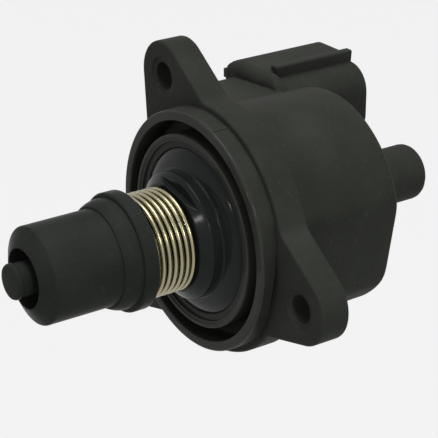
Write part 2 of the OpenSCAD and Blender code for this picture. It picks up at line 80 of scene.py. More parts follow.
def arc(cx, cy, r, start, end, steps):
    """Points of an arc, with angles in degrees."""
    angles = [math.radians(start + (end - start) * i / steps) for i in range(steps + 1)]
    return [(cx + r * math.cos(a), cy + r * math.sin(a)) for a in angles]


def circle(cx, cy, r, steps):
    return arc(cx, cy, r, 0, 360, steps)[:-1]


def rounded(corners, closed, steps=5):
    """An outline whose corners of three numbers are rounded by the third."""
    points = []
    last = len(corners) - 1
    for i, corner in enumerate(corners):
        here = Vector(corner[:2])
        r = corner[2] if len(corner) > 2 else 0
        if r == 0 or (not closed and i in (0, last)):
            points.append(tuple(here))
            continue
        to_last = (Vector(corners[i - 1][:2]) - here).normalized()
        to_next = (Vector(corners[(i + 1) % len(corners)][:2]) - here).normalized()
        half = to_last.angle(to_next) / 2
        centre = here + (to_last + to_next).normalized() * r / math.sin(half)
        first = here + to_last * r / math.tan(half) - centre
        sweep = math.pi - 2 * half
        if to_last.x * to_next.y - to_last.y * to_next.x > 0:
            sweep = -sweep
        for k in range(steps + 1):
            a = sweep * k / steps
            points.append((centre.x + first.x * math.cos(a) - first.y * math.sin(a),
                           centre.y + first.x * math.sin(a) + first.y * math.cos(a)))
    return points


def turn_point(p, degrees):
    a = math.radians(degrees)
    return (p[0] * math.cos(a) - p[1] * math.sin(a), p[0] * math.sin(a) + p[1] * math.cos(a))


def normals_of(loop):
    """Outward normals of a counter-clockwise loop."""
    out = []
    for i, p in enumerate(loop):
        before = Vector(p) - Vector(loop[i - 1])
        after = Vector(loop[(i + 1) % len(loop)]) - Vector(p)
        way = before.normalized() + after.normalized()
        out.append(Vector((way.y, -way.x)).normalized())
    return out


def inset(loop, by):
    return [(p[0] - n.x * by, p[1] - n.y * by) for p, n in zip(loop, normals_of(loop))]


def edge_steps(edge):
    """Inset and depth of each ring of a rounded edge."""
    angles = [math.pi / 2 * k / 3 for k in range(4)]
    return [(edge * (1 - math.sin(a)), edge * (1 - math.cos(a))) for a in angles]


# Meshes

CREASE = math.radians(32)
ON_AXIS = 1e-6


def add_object(name, data):
    obj = bpy.data.objects.new(name, data)
    bpy.context.scene.collection.objects.link(obj)
    return obj


def shade(mesh):
    """Smooth faces, with a crease where they meet at a steep angle."""
    mesh.shade_smooth()
    mesh.set_sharp_from_angle(angle=CREASE)


def finish_mesh(bm, name):
    bmesh.ops.recalc_face_normals(bm, faces=bm.faces)
    mesh = bpy.data.meshes.new(name)
    bm.to_mesh(mesh)
    bm.free()
    shade(mesh)
    return add_object(name, mesh)


def turned(name, outline, around=144, press=None):
    """A solid turned about Y. An outline that starts and ends on the axis is open, and any other is closed.
    press(r, y, angle) gives the radius where a flat or a thread changes it."""
    bm = bmesh.new()
    rings = []
    for r, y in outline:
        if r < ON_AXIS:
            rings.append([bm.verts.new((0, y * MM, 0))])
            continue
        ring = []
        for k in range(around):
            a = 2 * math.pi * k / around
            rr = press(r, y, a) if press else r
            ring.append(bm.verts.new((rr * math.cos(a) * MM, y * MM, rr * math.sin(a) * MM)))
        rings.append(ring)
    pairs = list(zip(rings, rings[1:]))
    if outline[0][0] >= ON_AXIS or outline[-1][0] >= ON_AXIS:
        pairs.append((rings[-1], rings[0]))
    for one, two in pairs:
        for k in range(around):
            n = (k + 1) % around
            if len(one) == 1:
                bm.faces.new((one[0], two[k], two[n]))
            elif len(two) == 1:
                bm.faces.new((one[k], two[0], one[n]))
            else:
                bm.faces.new((one[k], two[k], two[n], one[n]))
    return finish_mesh(bm, name)


def ring_at(bm, loop, y, shape=None):
    """A ring of points at a height along the axis. shape(x, y, z) gives the (x, z) where a form changes it."""
    out = []
    for x, z in loop:
        if shape:
            x, z = shape(x, y, z)
        out.append(bm.verts.new((x * MM, y * MM, z * MM)))
    return out


def skin(bm, rings):
    """Faces between each ring and the next."""
    for one, two in zip(rings, rings[1:]):
        for k in range(len(one)):
            n = (k + 1) % len(one)
            bm.faces.new((one[k], two[k], two[n], one[n]))


def cap(bm, rings):
    """A flat face between an outer ring and any inner rings."""
    edges = []
    for ring in rings:
        for k, v in enumerate(ring):
            n = ring[(k + 1) % len(ring)]
            edges.append(bm.edges.get((v, n)) or bm.edges.new((v, n)))
    bmesh.ops.triangle_fill(bm, use_beauty=True, use_dissolve=False, edges=edges)


def wall(bm, loop, y0, y1, edge):
    """The side wall of an outline that is drawn out along Y, with rounded edges at both ends."""
    steps = edge_steps(edge)
    rings = [ring_at(bm, inset(loop, i), y0 + d) for i, d in steps]
    rings += [ring_at(bm, inset(loop, i), y1 - d) for i, d in reversed(steps)]
    skin(bm, rings)
    return rings


def slab(name, loop, y0, y1, edge):
    """An outline drawn out along Y, with rounded edges at both ends."""
    bm = bmesh.new()
    rings = wall(bm, loop, y0, y1, edge)
    cap(bm, [rings[0]])
    cap(bm, [rings[-1]])
    return finish_mesh(bm, name)


def settle(obj):
    """Puts an object's modifiers into its mesh."""
    graph = bpy.context.evaluated_depsgraph_get()
    mesh = bpy.data.meshes.new_from_object(obj.evaluated_get(graph))
    obj.modifiers.clear()
    obj.data = mesh


def join(obj, tool, way):
    """Unites a tool with a solid, or cuts it away, and removes the tool."""
    step = obj.modifiers.new(way, "BOOLEAN")
    step.object = tool
    step.operation = way
    step.solver = "EXACT"
    settle(obj)
    bpy.data.objects.remove(tool)


# Housing: the flange with its three ears

FLANGE_R, FLANGE_T, FLANGE_EDGE, FLANGE_BORE_R = 20.5, 5.0, 0.4, 18.4
EARS = (-10.0, 120.0, 220.0)
EAR_REACH, EAR_END_R, EAR_TAPER, EAR_FILLET_R = 24.8, 5.75, 25.0, 3.0
# A screw hole as (radius, depth): a shallow ring in the front face, and then the clearance hole
SCREW_HOLE = ((3.2, 0), (3.09, 0.04), (3.05, 0.12), (3.05, 0.26), (2.98, 0.3), (2.45, 0.3), (2.31, 0.34),
              (2.25, 0.45), (2.25, 4.8), (2.31, 4.94), (2.45, FLANGE_T))


def flange_loop():
    """Outline of the flange: three ears that close in towards round ends, with a fillet at each root."""
    taper = math.radians(EAR_TAPER)
    normal = Vector((math.sin(taper), math.cos(taper)))
    side = Vector((math.cos(taper), -math.sin(taper)))
    distance = EAR_REACH * math.sin(taper) + EAR_END_R
    run = math.sqrt((FLANGE_R + EAR_FILLET_R) ** 2 - (distance + EAR_FILLET_R) ** 2)
    fillet = normal * (distance + EAR_FILLET_R) + side * run
    root = math.degrees(math.atan2(fillet.y, fillet.x))
    to_disc, to_side = 180 + root, 270 - EAR_TAPER
    ear = arc(fillet.x, -fillet.y, EAR_FILLET_R, -to_disc, -to_side, 8)
    ear += arc(EAR_REACH, 0, EAR_END_R, EAR_TAPER - 90, 90 - EAR_TAPER, 28)
    ear += arc(fillet.x, fillet.y, EAR_FILLET_R, to_side, to_disc, 8)
    loop = []
    for i, angle in enumerate(EARS):
        loop += [turn_point(p, angle) for p in ear]
        next_ear = EARS[(i + 1) % 3] + (360 if i == 2 else 0)
        steps = max(4, int((next_ear - angle - 2 * root) / 3))
        loop += arc(0, 0, FLANGE_R, angle + root, next_ear - root, steps)[1:-1]
    return loop


def make_flange():
    bm = bmesh.new()
    rings = wall(bm, flange_loop(), 0, FLANGE_T, FLANGE_EDGE)
    bore = [ring_at(bm, circle(0, 0, FLANGE_BORE_R, 120), y) for y in (0, FLANGE_T)]
    skin(bm, bore)
    fronts, backs = [rings[0], bore[0]], [rings[-1], bore[-1]]
    for angle in EARS:
        x, z = turn_point((EAR_REACH, 0), angle)
        hole = [ring_at(bm, circle(x, z, r, 48), y) for r, y in SCREW_HOLE]
        skin(bm, hole)
        fronts.append(hole[0])
        backs.append(hole[-1])
    cap(bm, fronts)
    cap(bm, backs)
    return finish_mesh(bm, "flange")


# Housing: the body with its flat side, the pilot with the seal's groove in its front, and the rear nub

PILOT_R, PILOT_FRONT, PILOT_REAR, SEAM_ANGLE = 19.45, -3.15, 4.5, math.radians(72.5)
GROOVE_OUTER_R, GROOVE_INNER_R, GROOVE_FLOOR = 17.8, 15.65, 1.35
LIP_R, RECESS_R, RECESS_FRONT, RECESS_FLOOR = 14.95, 14.5, -2.95, -2.55
BODY_R, BODY_REAR, NUB_R, NUB_REAR = 17.8, 24.8, 4.75, 42
FLAT, FLAT_ANGLE, FLAT_START, FLAT_BLEND, FLAT_ROUND = 16.1, math.radians(-10), 3, 0.45, 0.25


def press_flat(r, y, a):
    """Draws the body's wall in to its flat side, with soft edges and a small rounding at the rear."""
    turn = math.cos(a - FLAT_ANGLE)
    if y < FLAT_START or r < NUB_R + 0.65 or turn < 0.5:
        return r
    past = min(FLAT_ROUND, max(0.0, y - BODY_REAR + FLAT_ROUND))
    flat = (FLAT - FLAT_ROUND + math.sqrt(FLAT_ROUND ** 2 - past * past)) / turn
    blend = max(0.0, FLAT_BLEND - abs(r - flat)) / FLAT_BLEND
    return min(r, flat) - blend * blend * FLAT_BLEND / 4


def make_body():
    """The turned part of the housing, which takes the name of the whole moulding."""
    return turned("housing_moulding", rounded([
        (0, NUB_REAR), (NUB_R, NUB_REAR, 1.6), (NUB_R, BODY_REAR, 0.5), (BODY_R, BODY_REAR, 1.0),
        (BODY_R + 0.3, PILOT_REAR), (PILOT_R, PILOT_REAR), (PILOT_R, PILOT_FRONT, 0.42),
        (GROOVE_OUTER_R, PILOT_FRONT, 0.2), (GROOVE_OUTER_R, GROOVE_FLOOR, 0.3),
        (GROOVE_INNER_R, GROOVE_FLOOR, 0.3), (GROOVE_INNER_R, PILOT_FRONT, 0.15), (LIP_R, PILOT_FRONT, 0.2),
        (LIP_R - 0.05, RECESS_FRONT, 0.05), (RECESS_R, RECESS_FRONT, 0.12), (RECESS_R, RECESS_FLOOR),
        (0, RECESS_FLOOR)], closed=False), around=192, press=press_flat)


def make_inside():
    """The motor's space, from the front cover's seat to the end of the spindle's blind bore."""
    return turned("inside", [
        (0, -3.4), (13.45, -3.4), (13.45, 1.6), (14.6, 1.6), (14.6, 20.6), (6, 20.6), (6, 23.6),
        (3.35, 23.6), (3.35, 40), (0, 40)], around=96)


def make_seam():
    """The short ridge that the mould's seam leaves on the pilot."""
    section = rounded([
        (-0.16, -0.3), (0.16, -0.3), (0.09, 0.13, 0.05), (-0.09, 0.13, 0.05)], closed=True, steps=3)
    ridge = slab("seam", section, -2.7, 0.2, 0.05)
    cos, sin = math.cos(SEAM_ANGLE), math.sin(SEAM_ANGLE)
    for v in ridge.data.vertices:
        side, out, y = v.co.x, v.co.z + PILOT_R * MM, v.co.y
        v.co = (out * cos + side * sin, y, out * sin - side * cos)
    return ridge


# Housing: the connector socket with its guide rails, and the duct that leads the terminals to it

SOCKET_LEFT, SOCKET_RIGHT, SOCKET_LOW, SOCKET_TOP = -24.1, -8.5, 4.95, 17.55
SOCKET_FRONT, SOCKET_MOUTH, SOCKET_FLOOR = 20.2, 38.8, 27.3
SOCKET_CORNER, SOCKET_EDGE, SOCKET_ROLL = 2.9, 0.3, 2.0
SHOULDER_X, SHOULDER_TOP, SHOULDER_FRONT_TOP, SHOULDER_CORNER = -13.6, 16.4, 17.5, 4.4
HOLLOW_LEFT, HOLLOW_RIGHT, HOLLOW_LOW, HOLLOW_TOP, HOLLOW_CORNER = -22.6, -10, 6.45, 14.9, 1.4
RAIL_END = SOCKET_MOUTH - 0.05
TOP_RAIL = ((-14.4, 15.6), (-13.1, 15.6), (-12.8, 18.45, 0.3), (-14.4, 18.45, 0.3))
SIDE_RAIL = ((-24.4, 14, 0.15), (-23, 14), (-23, 15.6), (-24.4, 15.6, 0.15))
DUCT = ((-22.6, 6.95, 0.6), (-8, 6.95), (-8, 15.85), (-12, 15.6), (-22.6, 14.7, 1.7))


def socket_loop(shoulder_top, inner_corner):
    """Outline of the socket, with a shoulder on the side of the valve's axis."""
    return rounded([
        (SOCKET_LEFT, SOCKET_LOW, SOCKET_CORNER), (SOCKET_RIGHT, SOCKET_LOW, SOCKET_CORNER),
        (SOCKET_RIGHT, shoulder_top, SHOULDER_CORNER), (SHOULDER_X, shoulder_top, inner_corner),
        (SHOULDER_X, SOCKET_TOP, inner_corner), (SOCKET_LEFT, SOCKET_TOP, SOCKET_CORNER)], closed=True, steps=8)


def roll_top(x, y, z):
    """Rolls the socket's top down to its front face."""
    ahead = max(0.0, SOCKET_ROLL - (y - SOCKET_FRONT))
    return x, min(z, SOCKET_TOP - SOCKET_ROLL + math.sqrt(max(0.0, SOCKET_ROLL ** 2 - ahead ** 2)))


def make_socket():
    """The socket: near its front face the shoulder is as high as the rest, and it steps down behind."""
    outer = socket_loop(SHOULDER_TOP, 0.15)
    front = socket_loop(SHOULDER_FRONT_TOP, 0.01)
    inner = rounded([
        (HOLLOW_LEFT, HOLLOW_LOW, HOLLOW_CORNER), (HOLLOW_RIGHT, HOLLOW_LOW, HOLLOW_CORNER),
        (HOLLOW_RIGHT, HOLLOW_TOP, SOCKET_CORNER), (HOLLOW_LEFT, HOLLOW_TOP, HOLLOW_CORNER)],
        closed=True, steps=8)
    edge = edge_steps(SOCKET_EDGE)
    bm = bmesh.new()
    rings = [ring_at(bm, inset(front, i), SOCKET_FRONT + d, roll_top) for i, d in edge]
    rings += [ring_at(bm, front, SOCKET_FRONT + d, roll_top) for d in (0.5, 0.75, 1.05, 1.4, 1.7, 2.0)]
    rings += [ring_at(bm, outer, SOCKET_FRONT + d) for d in (2.8, 3.2)]
    rings += [ring_at(bm, inset(outer, i), SOCKET_MOUTH - d) for i, d in reversed(edge)]
    skin(bm, rings)
    cap(bm, [rings[0]])
    hollow = [ring_at(bm, inset(inner, d - SOCKET_EDGE), SOCKET_MOUTH - SOCKET_EDGE + i) for i, d in edge]
    hollow += [ring_at(bm, inner, SOCKET_FLOOR + SOCKET_EDGE)]
    hollow += [ring_at(bm, inset(inner, SOCKET_EDGE), SOCKET_FLOOR)]
    skin(bm, hollow)
    cap(bm, [rings[-1], hollow[0]])
    cap(bm, [hollow[-1]])
    return finish_mesh(bm, "socket")


def make_rails():
    """The tall guide rail on the socket's top and the low one on its outer side."""
    return [slab("top_rail", rounded(TOP_RAIL, closed=True, steps=4), 22.7, RAIL_END, 0.2),
            slab("side_rail", rounded(SIDE_RAIL, closed=True, steps=3), 20.05, RAIL_END, 0.12)]


def make_duct():
    return slab("duct", rounded(DUCT, closed=True, steps=6), 4.6, 21, 0.1)


def make_housing():
    housing = make_body()
    for tool in [make_flange(), make_duct(), make_socket(), make_seam()] + make_rails():
        join(housing, tool, "UNION")
    join(housing, make_inside(), "DIFFERENCE")
    shade(housing.data)
    even = housing.modifiers.new("even_normals", "WEIGHTED_NORMAL")
    even.keep_sharp = True
    settle(housing)
    return housing


# Front cover: a shallow dome, and a hub with a conical flank that a flat cuts on its upper side

COVER_R, COVER_REAR, BORE_R, KEYWAY = 13.4, 1.6, 3.05, 2.53
BOSS_R, BOSS_FRONT = 5.2, -9.5
HUB_R, HUB_FRONT, HUB_END_R = 8.6, -7, 10.3
HUB_FLAT, HUB_ANGLE, HUB_FLOOR = 8.1, math.radians(78), -6.15
HUB_SLOPE = math.tan(math.radians(38))
FLANK_STEPS = (0.3, 0.42, 0.54, 0.66, 0.78, 0.9, 1.0, 1.08)
DOME = ((HUB_END_R, -3.72, 0.3), (11.3, -3.53), (11.8, -3.38), (12.3, -3.18), (12.8, -2.94), (13.2, -2.7))


def key_flats(r, a, half):
    """The radius of a bore or a screw with a flat on each of two opposite sides."""
    return min(r, half / max(abs(math.cos(a)), 0.01))


def press_hub(r, y, a):
    """The flat on the hub's flank, and the two flats in the bore, which keep the spindle from turning."""
    if HUB_FRONT - 0.2 < y < HUB_FLOOR - 0.005 and r > HUB_R - 1:
        turn = math.cos(a - HUB_ANGLE)
        return min(r, HUB_FLAT / turn) if turn > 0.3 else r
    if r < BORE_R + 0.15 and y < -3.7:
        return key_flats(r, a, KEYWAY)
    return r


def make_cover():
    flank = [(HUB_R + d, HUB_FRONT + d * HUB_SLOPE) for d in FLANK_STEPS]
    floor_r = HUB_R + (HUB_FLOOR - HUB_FRONT) / HUB_SLOPE
    hub_end = HUB_FRONT + (HUB_END_R - HUB_R) * HUB_SLOPE
    return turned("front_cover", rounded([
        (BORE_R, BOSS_FRONT), (BOSS_R, BOSS_FRONT, 0.4), (BOSS_R, HUB_FRONT, 0.3), (HUB_R, HUB_FRONT, 0.3),
        *flank, (floor_r, HUB_FLOOR), (HUB_END_R, hub_end, 0.45), *DOME, (COVER_R, -2.5, 0.15),
        (COVER_R, COVER_REAR), (12, COVER_REAR), (12, -1.2), (9.4, -1.2), (9.4, COVER_REAR), (8, COVER_REAR),
        (8, -3.4), (5.5, -3.4), (5.5, -3.8), (BORE_R, -3.8)], closed=True), around=216, press=press_hub)


# Pintle: hollow nose, web, stepped collar and the sleeve inside the spring

WEB_BORE_R, WEB_FRONT, WEB_REAR = 3, -21.45, -17.05
NOSE_R, NOSE_TIP, NOSE_RIM_R, NOSE_HOLLOW_R, NOSE_REAR = 7.68, -32.7, 4.8, 4.64, -19.95
SHOULDER_R, SHOULDER_ROUND = 8.75, 4.1
BAND_R, BAND_REAR = 9.45, -14.65
SLEEVE_R, SLEEVE_BORE_R, SLEEVE_REAR = 6.9, 5.6, -11.5


def make_pintle():
    nose = rounded([
        (WEB_BORE_R, WEB_REAR), (WEB_BORE_R, WEB_FRONT), (NOSE_HOLLOW_R, WEB_FRONT),
        (NOSE_HOLLOW_R, NOSE_TIP, 0.06), (NOSE_RIM_R, NOSE_TIP, 0.06), (NOSE_R, -31.15)],
        closed=False, steps=6)[:-1]
    nose += rounded([
        (NOSE_RIM_R, NOSE_TIP), (NOSE_R, -31.17, 0.45), (NOSE_R, NOSE_REAR, 0.12), (8.02, NOSE_REAR)],
        closed=False, steps=6)[1:-1]
    shoulder = [(r, -y) for r, y in arc(SHOULDER_R - SHOULDER_ROUND, 17.6, SHOULDER_ROUND, 35, 0, 8)]
    band = rounded([
        shoulder[-1], (SHOULDER_R, -17.16), (8.7, -17.1), (9.2, -17.06, 0.1), (BAND_R, -16.8, 0.15),
        (BAND_R, BAND_REAR, 0.2), (SLEEVE_R, BAND_REAR, 0.2), (SLEEVE_R, SLEEVE_REAR, 0.35),
        (SLEEVE_BORE_R, SLEEVE_REAR, 0.15), (SLEEVE_BORE_R, WEB_REAR), (WEB_BORE_R, WEB_REAR)],
        closed=False, steps=4)[1:-1]
    return turned("pintle_moulding", nose + shoulder + band)


# Spindle: a turned head, two flats from behind the pintle's sleeve on, and a thread on the rounds between them

SCREW_R, SCREW_TIP, SCREW_END, SCREW_FLATS, FLATS_START = 3, -35, 34, 2.45, -11.1
THREAD_START, THREAD_LEAD, THREAD_DEPTH, THREAD_RING = 1, 2, 0.24, 0.125


def press_screw(r, y, a):
    if y > THREAD_START and r > SCREW_R - 0.1:
        turn = (y / THREAD_LEAD - a / (2 * math.pi)) % 1.0
        r -= THREAD_DEPTH * (0.5 - 0.5 * math.cos(2 * math.pi * turn))
    return key_flats(r, a, SCREW_FLATS) if y > FLATS_START else r


def make_spindle():
    head = rounded([
        (0, SCREW_TIP), (2.6, SCREW_TIP, 0.2), (2.8, -34.65, 0.15), (2.8, -34.2, 0.12), (2.62, -33.9, 0.12),
        (2.62, -22.4, 0.1), (SCREW_R, -22, 0.1), (SCREW_R, -20)], closed=False, steps=5)
    shank = [(SCREW_R, FLATS_START - 0.02), (SCREW_R, FLATS_START + 0.02), (SCREW_R, THREAD_START - 0.1)]
    threaded = [(SCREW_R, THREAD_START + THREAD_RING * i) for i in range(262)]
    end = [(2.75, SCREW_END), (0, SCREW_END)]
    return turned("lead_screw", head + shank + threaded + end, around=72, press=press_screw)


# Return spring: the end turns lie close, at a small pitch, against what they rest on, and the turns between them
# are open. The wire is thinner at its two ends.

WIRE_R, COIL_R, TURNS, END_TURNS, COIL_START = 0.425, 7.925, 6.6, 0.75, 215.0
COIL_FROM, COIL_TO, END_PITCH = -7.425, -14.225, 0.867
WIRE_SIDES, SECTIONS_PER_TURN, WIRE_END, WIRE_TAPER = 18, 60, 0.42, 0.14


def coil_y(t):
    """Where the wire lies along the axis after t turns."""
    middle = TURNS - 2 * END_TURNS
    pitch = (abs(COIL_TO - COIL_FROM) - 2 * END_TURNS * END_PITCH) / middle
    if t < END_TURNS:
        return COIL_FROM - t * END_PITCH
    if t < TURNS - END_TURNS:
        return COIL_FROM - END_TURNS * END_PITCH - (t - END_TURNS) * pitch
    return COIL_TO + (TURNS - t) * END_PITCH


def wire_ring(bm, t):
    """The wire's section after t turns. A thinned end lies against the face that the spring rests on."""
    a = math.radians(COIL_START + 360 * t)
    whole = min(1.0, min(t, TURNS - t) / WIRE_TAPER)
    r = WIRE_R * (WIRE_END + (1 - WIRE_END) * math.sin(math.pi / 2 * whole))
    y = coil_y(t) + (WIRE_R - r) * (1 if t < TURNS / 2 else -1)
    ring = []
    for k in range(WIRE_SIDES):
        b = 2 * math.pi * k / WIRE_SIDES
        out = COIL_R + r * math.cos(b)
        ring.append(bm.verts.new((out * math.cos(a) * MM, (y + r * math.sin(b)) * MM, out * math.sin(a) * MM)))
    return ring


def make_spring():
    """The spring. Each point's share of the plunger's motion, 0 in the first turn and 1 in the last, is worked
    out but not kept.
    """
    count = round(TURNS * SECTIONS_PER_TURN)
    bm = bmesh.new()
    rings, shares = [], []
    for i in range(count + 1):
        t = TURNS * i / count
        rings.append(wire_ring(bm, t))
        shares += [min(1.0, max(0.0, (t - END_TURNS) / (TURNS - 2 * END_TURNS)))] * WIRE_SIDES
    skin(bm, rings)
    bm.faces.new(rings[0])
    bm.faces.new(rings[-1])
    spring = finish_mesh(bm, "coil_spring")
    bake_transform(spring)
    return spring


# Shader nodes

def add(tree, kind, links=None, **settings):
    """A node with its settings, and links or values for its inputs by name or number."""
    node = tree.nodes.new(kind)
    for key, value in settings.items():
        setattr(node, key, value)
    for key, value in (links or {}).items():
        if isinstance(value, bpy.types.NodeSocket):
            tree.links.new(value, node.inputs[key])
        else:
            node.inputs[key].default_value = value
    return node


def math_node(tree, way, *values):
    return add(tree, "ShaderNodeMath", dict(enumerate(values)), operation=way).outputs[0]


def ramp(tree, value, low, high, out_low=0.0, out_high=1.0):
    return add(tree, "ShaderNodeMapRange", {"Value": value, "From Min": low, "From Max": high,
                                            "To Min": out_low, "To Max": out_high}).outputs["Result"]


def noise(tree, vector, scale, detail, roughness=0.5):
    return add(tree, "ShaderNodeTexNoise", {"Vector": vector, "Scale": scale, "Detail": detail,
                                            "Roughness": roughness}).outputs["Fac"]


def mix(tree, share, one, two):
    """Mixes two colours, each a socket or three numbers."""
    node = add(tree, "ShaderNodeMix", data_type="RGBA")
    for key, value in (("Factor", share), ("A", one), ("B", two)):
        socket = next(s for s in node.inputs if s.name == key and s.enabled)
        if isinstance(value, bpy.types.NodeSocket):
            tree.links.new(value, socket)
        else:
            socket.default_value = (*value, 1.0)
    return next(s for s in node.outputs if s.enabled)


def mix_by(tree, mask, strength, one, two):
    """Mixes two colours by a mask of a given strength."""
    return mix(tree, math_node(tree, "MULTIPLY", mask, strength), one, two)


def tint(colour, times, plus=0.0):
    """A colour made deeper or paler."""
    return tuple(min(1.0, c * times + plus) for c in colour)


# Shader groups

def new_group(name, inputs, outputs):
    group = bpy.data.node_groups.new(name, "ShaderNodeTree")
    for label, kind, value in inputs:
        socket = group.interface.new_socket(name=label, in_out="INPUT", socket_type=kind)
        if value is not None:
            socket.default_value = value
    for label, kind in outputs:
        group.interface.new_socket(name=label, in_out="OUTPUT", socket_type=kind)
    start = group.nodes.new("NodeGroupInput")
    end = group.nodes.new("NodeGroupOutput")
    return group, start, end


def place(tree, group, vector, **values):
    """A group in a material, with its own values for the group's inputs."""
    node = tree.nodes.new("ShaderNodeGroup")
    node.node_tree = group
    tree.links.new(vector, node.inputs["Vector"])
    for key, value in values.items():
        node.inputs[key.capitalize()].default_value = value
    return node


def grain_group():
    """Fine moulded grain: a height for the bump and a slow change of tone."""
    group, start, end = new_group("moulded grain", [
        ("Vector", "NodeSocketVector", None), ("Fineness", "NodeSocketFloat", 3000.0)],
        [("Height", "NodeSocketFloat"), ("Tone", "NodeSocketFloat")])
    vector, fine = start.outputs["Vector"], start.outputs["Fineness"]
    small = noise(group, vector, fine, 2)
    medium = noise(group, vector, math_node(group, "MULTIPLY", fine, 0.22), 2)
    wide = noise(group, vector, 90.0, 3, 0.6)
    height = math_node(group, "MULTIPLY_ADD", medium, 0.5, small)
    group.links.new(height, end.inputs["Height"])
    group.links.new(ramp(group, wide, 0.3, 0.7), end.inputs["Tone"])
    return group


def edge_group():
    """Softened edges: a normal that rounds them, and a mask of where they are rubbed and painted lighter as a
    highlight.
    """
    group, start, end = new_group("rubbed and highlit edges", [
        ("Vector", "NodeSocketVector", None), ("Width", "NodeSocketFloat", 0.0003)],
        [("Mask", "NodeSocketFloat"), ("Normal", "NodeSocketVector")])
    soft = add(group, "ShaderNodeBevel", {"Radius": start.outputs["Width"]}, samples=6)
    true = add(group, "ShaderNodeNewGeometry")
    same = add(group, "ShaderNodeVectorMath", {0: soft.outputs["Normal"], 1: true.outputs["True Normal"]},
               operation="DOT_PRODUCT").outputs["Value"]
    turned_away = ramp(group, same, 0.985, 0.9)
    broken = ramp(group, noise(group, start.outputs["Vector"], 700.0, 4, 0.7), 0.42, 0.62)
    group.links.new(math_node(group, "MULTIPLY", turned_away, broken), end.inputs["Mask"])
    group.links.new(soft.outputs["Normal"], end.inputs["Normal"])
    return group


def handling_group():
    """Marks of handling: a thin uneven dust, lying mostly on what faces up, and fine scratches in two ways."""
    group, start, end = new_group("handling marks", [
        ("Vector", "NodeSocketVector", None), ("Scratch length", "NodeSocketFloat", 0.06)],
        [("Dust", "NodeSocketFloat"), ("Scratches", "NodeSocketFloat")])
    vector = start.outputs["Vector"]
    facing = add(group, "ShaderNodeNewGeometry").outputs["Normal"]
    up = add(group, "ShaderNodeSeparateXYZ", {0: facing}).outputs["Z"]
    lying = ramp(group, up, -0.2, 0.9, 0.15, 1.0)
    specks = ramp(group, noise(group, vector, 1800.0, 2), 0.55, 0.72)
    clouds = ramp(group, noise(group, vector, 160.0, 4, 0.65), 0.42, 0.75)
    dust = math_node(group, "MULTIPLY", lying, math_node(group, "MULTIPLY_ADD", specks, 0.15, clouds))
    group.links.new(dust, end.inputs["Dust"])
    squeeze = add(group, "ShaderNodeCombineXYZ", {"X": start.outputs["Scratch length"], "Y": 1.0, "Z": 1.0})
    lines = []
    for way in ((0.3, 0.9, 0.5), (1.2, -0.5, 0.2)):
        stretch = add(group, "ShaderNodeMapping", {"Vector": vector, "Rotation": way})
        thin = add(group, "ShaderNodeVectorMath", {0: stretch.outputs[0], 1: squeeze.outputs[0]},
                   operation="MULTIPLY")
        lines.append(ramp(group, noise(group, thin.outputs[0], 1500.0, 1), 0.69, 0.74))
    group.links.new(math_node(group, "MAXIMUM", *lines), end.inputs["Scratches"])
    return group


def turning_group():
    """Marks of turning or drawing: fine lines round the valve's axis, and a cloudy change of tone."""
    group, start, end = new_group("tool marks", [
        ("Vector", "NodeSocketVector", None), ("Pitch", "NodeSocketFloat", 9000.0)],
        [("Lines", "NodeSocketFloat"), ("Cloud", "NodeSocketFloat")])
    vector = start.outputs["Vector"]
    squeeze = add(group, "ShaderNodeVectorMath", {0: vector, 1: (0.03, 1.0, 0.03)}, operation="MULTIPLY")
    lines = noise(group, squeeze.outputs[0], start.outputs["Pitch"], 3, 0.7)
    group.links.new(lines, end.inputs["Lines"])
    group.links.new(noise(group, vector, 400.0, 3), end.inputs["Cloud"])
    return group


# Materials

PLASTIC_RELIEF, METAL_RELIEF, WIRE_RELIEF, WIRE_PITCH = 0.00008, 0.00003, 0.00008, 0.00022
FILM = (0.5, 0.45, 0.35)
POLISH_START, POLISH_FULL, POLISH_ROUGHNESS = -2.3, -2.8, 0.12


def new_material(name):
    material = bpy.data.materials.new(name)
    material.use_nodes = True
    tree = material.node_tree
    shader = tree.nodes["Principled BSDF"]
    vector = add(tree, "ShaderNodeTexCoord").outputs["Object"]
    return material, tree, shader, vector


def set_relief(tree, shader, height, strength, distance, **normal):
    dent = add(tree, "ShaderNodeBump", {"Height": height, **normal, "Strength": strength, "Distance": distance})
    tree.links.new(dent.outputs[0], shader.inputs["Normal"])


